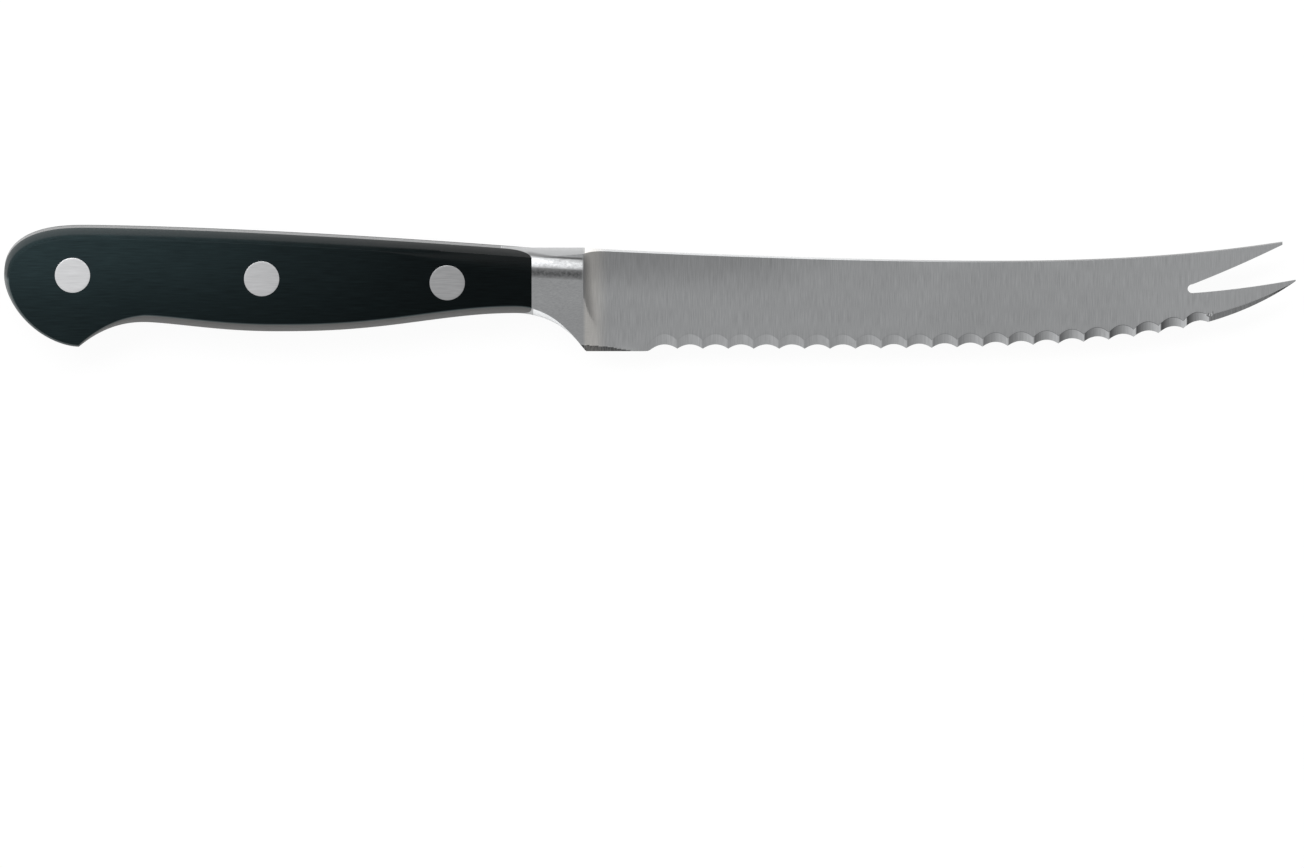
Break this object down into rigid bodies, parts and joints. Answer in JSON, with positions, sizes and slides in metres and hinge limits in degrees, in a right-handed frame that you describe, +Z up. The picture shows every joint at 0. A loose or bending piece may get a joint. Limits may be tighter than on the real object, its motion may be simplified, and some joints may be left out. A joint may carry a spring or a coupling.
{
  "type": "tomato knife",
  "caption": "Tomato knife with a scalloped, fork-tipped blade forged in one with its bolster and full tang, and dark scales held by flush rivets.",
  "frame": {"origin": "on the surface that the knife lies on, under the middle of its box", "axes": "+X from the butt to the tip, +Y from the edge to the spine, +Z up, out of the right side"},
  "size_m": [0.2556, 0.025, 0.014],
  "materials": {
    "steel": "finely brushed",
    "scale": "satin, finely brushed",
    "rivet": "brushed flush with the scales"
  },
  "bodies": {
    "root": {"blade": "steel", "right_scale": "scale", "left_scale": "scale", "butt_rivet_stem": "rivet", "butt_rivet_tube": "rivet", "middle_rivet_stem": "rivet", "middle_rivet_tube": "rivet", "front_rivet_stem": "rivet", "front_rivet_tube": "rivet"}
  },
  "joints": []
}
